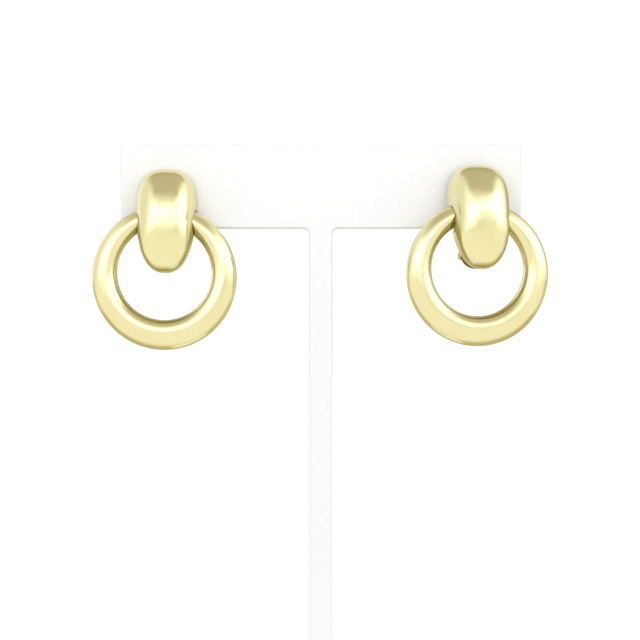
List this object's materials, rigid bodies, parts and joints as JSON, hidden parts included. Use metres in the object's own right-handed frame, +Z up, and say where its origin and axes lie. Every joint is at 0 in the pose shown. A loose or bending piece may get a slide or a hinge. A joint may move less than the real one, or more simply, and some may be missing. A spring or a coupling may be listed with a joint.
{
  "type": "pair of doorknocker earrings on a T-bar display stand",
  "caption": "Polished gold-tone doorknocker clip-on earrings, each a hollow domed top with a graduated round ring that swings, clipped to a plain white T-bar display stand.",
  "frame": {"origin": "underside of the base plate, below the middle of the board's thickness and of its stem", "axes": "+Z up, -Y out of the front of the stand, towards the viewer, +X to the viewer's right along the crossbar"},
  "size_m": [0.0948, 0.046, 0.12],
  "materials": {
    "polished_gold": "polished",
    "clip_gold": "satin",
    "white_plastic": "smooth"
  },
  "bodies": {
    "stand": {"stand_board": "white_plastic", "stand_base": "white_plastic", "left_dome": "polished_gold", "left_clip": "clip_gold", "right_dome": "polished_gold", "right_clip": "clip_gold"},
    "left_ring": {"left_ring": "polished_gold"},
    "right_ring": {"right_ring": "polished_gold"}
  },
  "joints": [
    {"name": "left_ring_swing", "type": "hinge", "parent": "stand", "child": "left_ring", "pos_m": [-0.0321, -0.0045, 0.1048], "axis": [-1, 0, 0], "range_deg": [-12, 18]},
    {"name": "right_ring_swing", "type": "hinge", "parent": "stand", "child": "right_ring", "pos_m": [0.0328, -0.00549, 0.1056], "axis": [-0.9877, -0.1564, 0], "range_deg": [-5, 18]}
  ]
}
